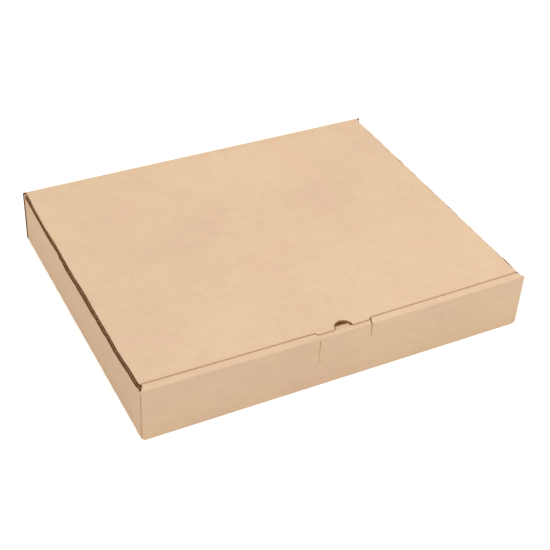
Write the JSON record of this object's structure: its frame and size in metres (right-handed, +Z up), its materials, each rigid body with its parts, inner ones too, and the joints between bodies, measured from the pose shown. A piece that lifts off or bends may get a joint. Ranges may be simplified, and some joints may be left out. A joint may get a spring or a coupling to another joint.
{
  "type": "pizza box",
  "caption": "Shallow plain kraft corrugated pizza box, folded from one sheet, with a hinged tuck-in lid, a roll-over front wall and a half-moon thumb notch.",
  "frame": {"origin": "centre of the underside of the closed box", "axes": "+X along the front wall to the viewer's right, +Y from the front wall to the lid's fold, +Z up"},
  "size_m": [0.4, 0.326, 0.06],
  "materials": {
    "kraft_board": "matt"
  },
  "bodies": {
    "tray": {"tray": "kraft_board"},
    "lid": {"lid": "kraft_board"}
  },
  "joints": [
    {"name": "lid_hinge", "type": "hinge", "parent": "tray", "child": "lid", "pos_m": [0, 0.1617, 0.0587], "axis": [-1, 0, 0], "range_deg": [0, 180]}
  ]
}
